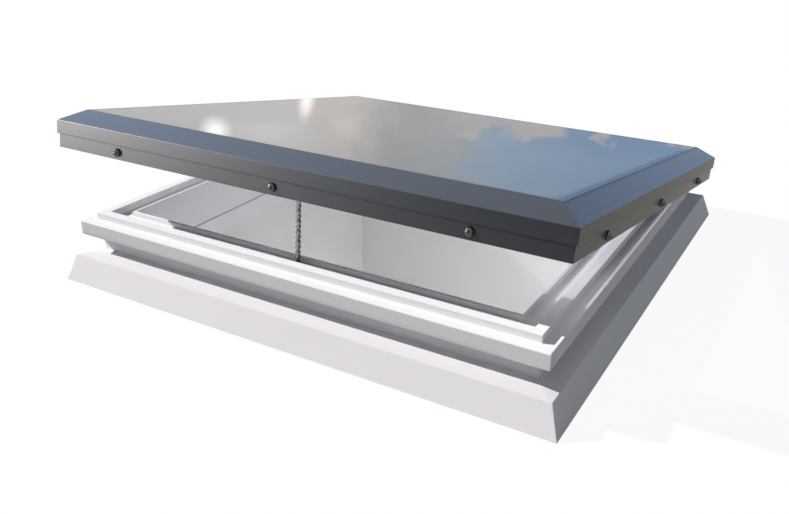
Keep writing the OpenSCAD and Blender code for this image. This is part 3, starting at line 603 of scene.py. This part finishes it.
class OBJECT_OT_rooflight_domes(bpy.types.Operator):
    """Model one dome cap with its rim and its pocket, and copy it to each side screw"""

    bl_idname = "object.rooflight_domes"
    bl_label = "Dome caps"

    def execute(self, context):
        sizes = context.scene.rooflight_sizes
        half = sizes.dome_d / 2
        crown = sizes.dome_h - sizes.dome_rim
        ball = (half * half + crown * crown) / (2 * crown)
        dome = add_primitive(
            "dome", bpy.ops.mesh.primitive_uv_sphere_add, segments=40, ring_count=40, radius=ball,
            location=(0, 0, sizes.dome_h - ball))
        bpy.ops.object.transform_apply(location=True)
        bpy.ops.object.mode_set(mode="EDIT")
        bpy.ops.mesh.select_all(action="SELECT")
        bpy.ops.mesh.bisect(
            plane_co=(0, 0, sizes.dome_rim), plane_no=(0, 0, 1), clear_inner=True, use_fill=True)
        pick("FACE", lambda place, normal: abs(place.z - sizes.dome_rim) < NEAR)
        bpy.ops.mesh.extrude_region_move(TRANSFORM_OT_translate={"value": (0, 0, -sizes.dome_rim)})
        pick("FACE", lambda place, normal: place.z < NEAR)
        bpy.ops.mesh.inset(thickness=half - sizes.dome_pocket / 2)
        pick("FACE", lambda place, normal: place.z < NEAR and place.xy.length < 1 * MM)
        bpy.ops.mesh.extrude_region_move(TRANSFORM_OT_translate={"value": (0, 0, sizes.dome_pocket_h)})
        pick("EDGE", lambda place, normal: abs(place.z - sizes.dome_rim) < NEAR)
        bpy.ops.mesh.bevel(offset=0.3 * MM, segments=3)
        close_edit()
        places = [
            OPENED @ Matrix.Rotation(math.radians(turn), 4, "Z")
            @ Matrix.Translation((row, -DOME_FACE, DOME_Z)) @ Matrix.Rotation(math.radians(90), 4, "X")
            for turn in SIDE_TURNS for row in DOME_ROWS]
        dress(join("dome_caps", copies(dome, places)), "lid", FINISHES["dome"], "gloss_black", "screw_caps")
        return {"FINISHED"}


class OBJECT_OT_rooflight_lid_seal(bpy.types.Operator):
    """Model the bulb seal under the lid: a flat foot on the sash and a rounded bulb below it"""

    bl_idname = "object.rooflight_lid_seal"
    bl_label = "Lid seal"

    def execute(self, context):
        sizes = context.scene.rooflight_sizes
        middle = (LIP_OUTER + LIP_INNER) / 2
        half = sizes.seal_w / 2
        low = FLANGE_Z - sizes.seal_h
        seal = square_ring("lid_bulb_seal", middle + half, middle - half, low, FLANGE_Z)
        pick("EDGE", lambda place, normal: place.z < low + NEAR)
        # Only the long edges are rounded, not the mitres across the rail
        keep_long_edges(2 * sizes.seal_w)
        bpy.ops.mesh.bevel(offset=half * 0.8, segments=8)
        close_edit()
        seal.matrix_world = OPENED
        join("lid_bulb_seal", [seal])
        dress(seal, "lid", FINISHES["epdm"], "epdm", "lid_seal")
        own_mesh(seal)
        return {"FINISHED"}


class OBJECT_OT_rooflight_sealant(bpy.types.Operator):
    """Model the tooled joint round the glass: a narrow ring whose top is drawn hollow"""

    bl_idname = "object.rooflight_sealant"
    bl_label = "Sealant joint"

    def execute(self, context):
        sizes = context.scene.rooflight_sizes
        below_glass, depth = 0.4 * MM, 12 * MM
        width = BEVEL_EDGE - GLASS_EDGE
        bead = square_ring("tooled_joint", BEVEL_EDGE, GLASS_EDGE, LID_TOP - depth, LID_TOP - below_glass)
        pick("FACE", lambda place, normal: normal.z > 0.9)
        bpy.ops.mesh.inset(thickness=width * 0.3, use_boundary=True)
        bpy.ops.transform.translate(value=(0, 0, -sizes.bead_dip))
        close_edit()
        bead.matrix_world = OPENED
        join("tooled_joint", [bead])
        dress(bead, "lid", FINISHES["sealant"], "sealant", "weather_sealant")
        return {"FINISHED"}


class OBJECT_OT_rooflight_cover_screws(bpy.types.Operator):
    """Model one countersunk screw with a cross recess, and copy it to the corners of the cover"""

    bl_idname = "object.rooflight_cover_screws"
    bl_label = "Cover screws"

    def execute(self, context):
        sizes = context.scene.rooflight_sizes
        head, shank = 3.5 * MM, 1.75 * MM
        rim, cone, point, length = 0.3 * MM, 1.45 * MM, 1.0 * MM, 13.0 * MM
        blade_l, blade_h, blade_z = 4.2 * MM, 2.0 * MM, -0.2 * MM
        screw = add_primitive(
            "screw", bpy.ops.mesh.primitive_cylinder_add, vertices=32, radius=head, depth=rim,
            location=(0, 0, -rim / 2))
        bpy.ops.object.transform_apply(location=True)
        bpy.ops.object.mode_set(mode="EDIT")
        pick("FACE", lambda place, normal: normal.z < -0.9)
        bpy.ops.mesh.extrude_region_move(TRANSFORM_OT_translate={"value": (0, 0, -cone)})
        bpy.ops.transform.resize(value=(shank / head, shank / head, 1), center_override=(0, 0, -rim - cone))
        straight = length - rim - cone - point
        bpy.ops.mesh.extrude_region_move(TRANSFORM_OT_translate={"value": (0, 0, -straight)})
        bpy.ops.mesh.extrude_region_move(TRANSFORM_OT_translate={"value": (0, 0, -point)})
        bpy.ops.transform.resize(value=(0.2, 0.2, 1), center_override=(0, 0, -length))
        close_edit()
        for across, along in ((blade_l, sizes.recess_w), (sizes.recess_w, blade_l)):
            cutter = add_primitive(
                "blade", bpy.ops.mesh.primitive_cube_add, size=1, location=(0, 0, blade_z),
                scale=(across, along, blade_h))
            bpy.ops.object.select_all(action="DESELECT")
            screw.select_set(True)
            bpy.context.view_layer.objects.active = screw
            cut = screw.modifiers.new("recess", "BOOLEAN")
            cut.operation = "DIFFERENCE"
            cut.object = cutter
            bpy.ops.object.modifier_apply(modifier=cut.name)
            bpy.data.objects.remove(cutter)
        places = [
            Matrix.Translation((x, -COVER_FACE, SWIVEL.z + z)) @ Matrix.Rotation(math.radians(-90), 4, "X")
            for x in (-COVER_SCREW_X, COVER_SCREW_X) for z in (-COVER_SCREW_Z, COVER_SCREW_Z)]
        dress(join("cover_cross_screws", copies(screw, places)), "base", FINISHES["stainless"], "stainless",
              "cover_screws")
        return {"FINISHED"}


def card(name, corners, paint, hidden_from=("camera", "diffuse", "transmission", "volume_scatter", "shadow")):
    """Hang a card that, unless told otherwise, only mirror-like surfaces see."""
    sheet = add_primitive(name, bpy.ops.mesh.primitive_plane_add, size=1)
    for point, corner in zip(sheet.data.vertices, corners):
        point.co = corner
    for rays in hidden_from:
        setattr(sheet, "visible_" + rays, False)
    sheet.data.materials.append(paint)


def standing(left, right, y, low, high):
    """Return the corners of a card that stands across the stage."""
    return [(x, y, z) for z in (low, high) for x in (left, right)]


def lying(left, right, front, back, z):
    """Return the corners of a card that lies level."""
    return [(x, y, z) for y in (front, back) for x in (left, right)]


def soft_spot(tree, place, centre, reach):
    """Return a soft mask on a card: 1 at a place along X and Z, 0 beyond its reach."""
    near = add_node(tree, "ShaderNodeVectorMath", {
        0: place, 1: (centre[0], 0.0, centre[1])}, operation="SUBTRACT").outputs[0]
    scaled = add_node(tree, "ShaderNodeVectorMath", {
        0: near, 1: (1 / reach[0], 0.0, 1 / reach[1])}, operation="MULTIPLY").outputs[0]
    away = add_node(tree, "ShaderNodeVectorMath", {0: scaled}, operation="LENGTH").outputs["Value"]
    return add_node(tree, "ShaderNodeMapRange", {
        "Value": away, "To Min": 1.0, "To Max": 0.0}, interpolation_type="SMOOTHSTEP").outputs[0]


def ramp(tree, value, stops):
    """Return a colour ramp over a value, with a colour at each stop."""
    made = add_node(tree, "ShaderNodeValToRGB", {0: value})
    bar = made.color_ramp.elements
    while len(bar) < len(stops):
        bar.new(0.5)
    for mark, (place, colour) in zip(bar, stops):
        mark.position = place
        mark.color = linear(colour)
    return made.outputs[0]


def sky_card_paint():
    """Sky for the glass to mirror: warm haze on the left, grey cloud, then blue with a low bank of cloud."""
    paint, tree, place = new_finish("Painted sky card")
    squeezed = add_node(tree, "ShaderNodeMapping", {"Vector": place, "Scale": (1.0, 1.0, 1.8)}).outputs[0]
    puffs = add_node(tree, "ShaderNodeTexNoise", {
        "Vector": squeezed, "Scale": 5.0, "Detail": 4.0, "Roughness": 0.55}).outputs[0]
    wander = reckon(tree, "SUBTRACT", puffs, 0.5)
    axes = add_node(tree, "ShaderNodeSeparateXYZ", {0: place})
    east = reckon(tree, "MULTIPLY_ADD", wander, 0.45, axes.outputs[0])
    across = rise(tree, east, -4.0, 1.0)
    air = ramp(tree, across, (
        (0.34, "AEABAA"), (0.44, "ABA39F"), (0.50, "8B8A8B"), (0.575, "89898B"), (0.61, "74869B"),
        (0.73, "607694"), (0.82, "607694"), (0.90, "93A9C8")))
    # The bank of cloud stands higher on its left, and ends before the glass does
    level = ramp(tree, across, (
        (0.55, "FFFFFF"), (0.65, "E0E0E0"), (0.685, "A0A0A0"), (0.715, "000000")))
    top = reckon(tree, "MULTIPLY", level, 0.15)
    ragged = reckon(tree, "MULTIPLY_ADD", wander, 0.5, top)
    under = reckon(tree, "SUBTRACT", ragged, axes.outputs[2])
    bank = add_node(tree, "ShaderNodeMapRange", {
        "Value": under, "From Min": -0.02, "From Max": 0.05}, interpolation_type="SMOOTHSTEP").outputs[0]
    there = rise(tree, across, 0.54, 0.60)
    share = reckon(tree, "MULTIPLY", bank, there)
    sky = blend(tree, share, air, linear("979293"))
    for centre, reach, colour in (
            ((-2.35, 0.32), (0.55, 0.16), "B9B5B3"), ((-1.85, 0.20), (0.16, 0.10), "B3AEAC"),
            ((-2.80, 0.36), (0.17, 0.12), "FFFCFA"), ((-2.14, 0.08), (0.08, 0.16), "F4E9E5")):
        spot = soft_spot(tree, place, centre, reach)
        sky = blend(tree, spot, sky, linear(colour))
    finish_output(tree, add_node(tree, "ShaderNodeEmission", {"Color": sky, "Strength": 2.0}))
    return paint


def graded_card_paint(name, left, right, curve=1.0):
    """Diffuser lit from behind and graded from its left end to its right. Each end is a place along X,
    a strength and a colour, and the curve bends the fall between them."""
    left_x, left_power, left_colour = left
    right_x, right_power, right_colour = right
    paint, tree, place = new_finish(name)
    axes = add_node(tree, "ShaderNodeSeparateXYZ", {0: place})
    share = rise(tree, axes.outputs[0], right_x, left_x)
    bent = reckon(tree, "POWER", share, curve)
    strength = reckon(tree, "MULTIPLY_ADD", bent, left_power - right_power, right_power)
    tone = blend(tree, share, linear(right_colour), linear(left_colour))
    finish_output(tree, add_node(tree, "ShaderNodeEmission", {"Color": tone, "Strength": strength}))
    return paint


def scrim_gauze(name, passed):
    """Gauze that lets a part of the light through, given as a grey."""
    paint, tree, _ = new_finish(name)
    finish_output(tree, add_node(tree, "ShaderNodeBsdfTransparent", {"Color": linear(passed)}))
    return paint


def scrim(name, face, gauze):
    """Hang gauze in the key lamp's way, with the outline of the face that it keeps from bleaching."""
    card(name, [Vector(corner) - SCRIM_GAP * KEY_WAY for corner in face], gauze,
         ("camera", "diffuse", "glossy", "transmission", "volume_scatter"))


def hang_scrims():
    """Soften the key lamp on the left sides of the kerb and of the frame on it, and on the front ledge."""
    close = scrim_gauze("Close scrim gauze", "C3C3C3")
    scrim("kerb_scrim", (
        (-FOOT_HALF, -FOOT_HALF, 0.0), (-FOOT_HALF, FOOT_HALF, 0.0),
        (-LEDGE_HALF, -LEDGE_HALF, LEDGE_Z), (-LEDGE_HALF, LEDGE_HALF, LEDGE_Z)), close)
    scrim("frame_scrim", [
        (-FRAME_HALF, y, z) for z in (FRAME_LOW, FRAME_HIGH) for y in (-FRAME_HALF, FRAME_HALF)], close)
    # The frame's overhang shades the rest of the ledge
    lit_half = FRAME_HALF + KEY_WAY.y / KEY_WAY.z * (FRAME_LOW - LEDGE_Z)
    lit_z = LEDGE_Z + LEDGE_SLOPE * (LEDGE_HALF - lit_half)
    scrim("ledge_scrim", (
        (-LEDGE_HALF, -LEDGE_HALF, LEDGE_Z), (LEDGE_HALF, -LEDGE_HALF, LEDGE_Z),
        (-lit_half, -lit_half, lit_z), (lit_half, -lit_half, lit_z)),
        scrim_gauze("Open scrim gauze", "E9E9E9"))


def soft_lamp(name, place, aim, size, power, colour):
    """Hang a soft lamp, of a width and a length, that only matt surfaces see."""
    light = bpy.data.lights.new(name, "AREA")
    light.shape = "RECTANGLE"
    light.size, light.size_y = size
    light.energy = power
    light.color = linear(colour)[:3]
    lamp = bpy.data.objects.new(name, light)
    lamp.location = place
    lamp.rotation_euler = (Vector(aim) - Vector(place)).to_track_quat("-Z", "Y").to_euler()
    for seen_by in ("camera", "glossy", "transmission"):
        setattr(lamp, "visible_" + seen_by, False)
    bpy.context.scene.collection.objects.link(lamp)


def seen_rays(tree):
    """Return 1 for rays from the camera and for mirrored and refracted ones, which show the background."""
    path = add_node(tree, "ShaderNodeLightPath")
    seen = path.outputs["Is Camera Ray"]
    for rays in ("Is Glossy Ray", "Is Transmission Ray"):
        seen = reckon(tree, "MAXIMUM", seen, path.outputs[rays])
    return seen


def studio_floor(lit_share):
    """Pale studio floor: white to the camera, with the object's shadow left faintly on it."""
    paint, tree, place = new_finish("Painted studio floor")
    speckle = noise(tree, place, 25)
    pale = blend(tree, speckle, linear("F6F6F6"), linear("F2F2F2"))
    seen = seen_rays(tree)
    tone = blend(tree, seen, linear("7C7C7E"), pale)
    matt = add_node(tree, "ShaderNodeBsdfDiffuse", {"Color": tone})
    white = add_node(tree, "ShaderNodeEmission", {"Color": (1, 1, 1, 1), "Strength": 1.0})
    share = reckon(tree, "MULTIPLY", seen, 1 - lit_share)
    finish_output(tree, add_node(tree, "ShaderNodeMixShader", {
        0: share, 1: matt.outputs[0], 2: white.outputs[0]}))
    return paint


def shaft_plaster():
    """Skimmed plaster of the shaft under the opening: matt white, softly uneven."""
    paint, tree, place = new_finish("Skimmed plaster")
    trowel = noise(tree, place, 80, 3.0)
    tone = blend(tree, trowel, linear("EAEAE9"), linear("E7E7E6"))
    finish_output(tree, add_node(tree, "ShaderNodeBsdfDiffuse", {"Color": tone, "Roughness": 0.6}))
    return paint


def floor_with_shaft():
    """Model the floor with the shaft that the rooflight stands over: a plane, inset and sunk."""
    half, opening, depth = 30.0, 0.398, 1.2
    floor = add_primitive("studio_floor", bpy.ops.mesh.primitive_plane_add, size=2 * half)
    floor.data.materials.append(studio_floor(lit_share=0.07))
    floor.data.materials.append(shaft_plaster())
    bpy.ops.object.mode_set(mode="EDIT")
    bpy.ops.mesh.select_all(action="SELECT")
    bpy.ops.mesh.inset(thickness=half - opening)
    pick("FACE", lambda place, normal: place.length < opening / 2)
    bpy.ops.mesh.extrude_region_move(TRANSFORM_OT_translate={"value": (0, 0, -depth)})
    pick("FACE", lambda place, normal: place.z < -0.01)
    floor.active_material_index = 1
    bpy.ops.object.material_slot_assign()
    bpy.ops.object.mode_set(mode="OBJECT")


class OBJECT_OT_rooflight_stage(bpy.types.Operator):
    """Set up the pale floor, the lamps, the cards and the camera"""

    bl_idname = "object.rooflight_stage"
    bl_label = "Studio"

    def execute(self, context):
        scene = context.scene
        scene.view_settings.view_transform = "Standard"
        floor_with_shaft()

        card("sky_card", standing(-7, 4, 2.6, 0.005, 2.5), sky_card_paint())
        card("zenith_card", lying(-6, 2, -1, 3, 3),
             graded_card_paint("Blue diffuser overhead", (-4.0, 3.0, "BFDAFF"), (-0.5, 2.1, "D2DCF0")))
        card("front_card", standing(-6, 2, -3.2, 0.005, 1.6),
             graded_card_paint("Warm diffuser in front", (-3.8, 16.0, "FFF8F4"), (-0.3, 0.22, "DCE9FF"), 2.1))
        card("dark_flag", lying(0.55, 3.5, -0.6, 2.5, 0.004),
             graded_card_paint("Grey flag on the floor", (0.5, 1.75, "8A8A82"), (3.5, 1.75, "8A8A86")))

        hang_scrims()

        world = bpy.data.worlds.new("Studio air")
        scene.world = world
        world.use_nodes = True
        tree = world.node_tree
        tree.nodes.clear()
        seen = seen_rays(tree)
        tone = blend(tree, seen, linear("F1F4FA"), (1, 1, 1, 1))
        strength = spread(tree, seen, 0.14, 1.0)
        air = add_node(tree, "ShaderNodeBackground", {"Color": tone, "Strength": strength})
        add_node(tree, "ShaderNodeOutputWorld", {"Surface": air.outputs[0]})

        key = bpy.data.lights.new("key", "SUN")
        key.energy = 5.3
        key.angle = math.radians(0.4)
        key.color = (1.0, 0.955, 0.958)
        lamp = bpy.data.objects.new("key", key)
        lamp.rotation_euler = KEY_WAY.to_track_quat("-Z", "Y").to_euler()
        # The panes let the lamp through in their shadows, so its refracted image stays out
        lamp.visible_transmission = False
        scene.collection.objects.link(lamp)
        soft_lamp("shaft_lamp", place=(0.30, -0.34, -0.36), aim=(0.06, 0.22, 0.06),
                  size=(0.4, 0.4), power=4.1, colour="FFFEFE")
        soft_lamp("rail_lamp", place=OPENED @ Vector((0.455, -0.33, 0.088)),
                  aim=OPENED @ Vector((0.455, -0.33, -1.0)), size=(0.1, 0.26), power=0.04, colour="FFFEFF")
        soft_lamp("right_fill", place=(3.0, 0.4, 0.09), aim=(0.4, 0.0, 0.08),
                  size=(2.4, 0.16), power=8.5, colour="EAF3FF")

        lens = bpy.data.cameras.new("camera")
        lens.sensor_fit = "HORIZONTAL"
        lens.sensor_width = CAMERA_SENSOR
        lens.lens = CAMERA_LENS
        lens.clip_start = 0.05
        camera = bpy.data.objects.new("camera", lens)
        view = Matrix.Translation(CAMERA_PLACE)
        for angle, axis in ((CAMERA_TURN, "Z"), (CAMERA_TILT, "X"), (CAMERA_ROLL, "Z")):
            view = view @ Matrix.Rotation(math.radians(angle), 4, axis)
        camera.matrix_world = view
        scene.collection.objects.link(camera)
        scene.camera = camera
        return {"FINISHED"}


OPERATORS = (
    OBJECT_OT_rooflight_stage,
    OBJECT_OT_rooflight_finishes,
    OBJECT_OT_rooflight_chain,
    OBJECT_OT_rooflight_domes,
    OBJECT_OT_rooflight_lid_seal,
    OBJECT_OT_rooflight_sealant,
    OBJECT_OT_rooflight_cover_screws,
)


class VIEW3D_PT_rooflight(bpy.types.Panel):
    """Lists the rooflight's sizes, colours and operators"""

    bl_idname = "VIEW3D_PT_rooflight"
    bl_label = "Rooflight"
    bl_space_type = "VIEW_3D"
    bl_region_type = "UI"
    bl_category = "Rooflight"

    def draw(self, context):
        for operator in OPERATORS:
            self.layout.operator(operator.bl_idname)
        for group in (context.scene.rooflight_sizes, context.scene.rooflight_colours):
            for name in group.__annotations__:
                self.layout.prop(group, name)


CLASSES = (RooflightSizes, RooflightColours) + OPERATORS + (VIEW3D_PT_rooflight,)


def register():
    for item in CLASSES:
        bpy.utils.register_class(item)
    bpy.types.Scene.rooflight_sizes = bpy.props.PointerProperty(type=RooflightSizes)
    bpy.types.Scene.rooflight_colours = bpy.props.PointerProperty(type=RooflightColours)


def unregister():
    del bpy.types.Scene.rooflight_colours
    del bpy.types.Scene.rooflight_sizes
    for item in reversed(CLASSES):
        bpy.utils.unregister_class(item)


def main():
    register()
    bpy.ops.object.rooflight_stage()
    bpy.ops.object.rooflight_finishes()
    bpy.ops.object.rooflight_chain()
    bpy.ops.object.rooflight_domes()
    bpy.ops.object.rooflight_lid_seal()
    bpy.ops.object.rooflight_sealant()
    bpy.ops.object.rooflight_cover_screws()


if __name__ == "__main__":
    main()
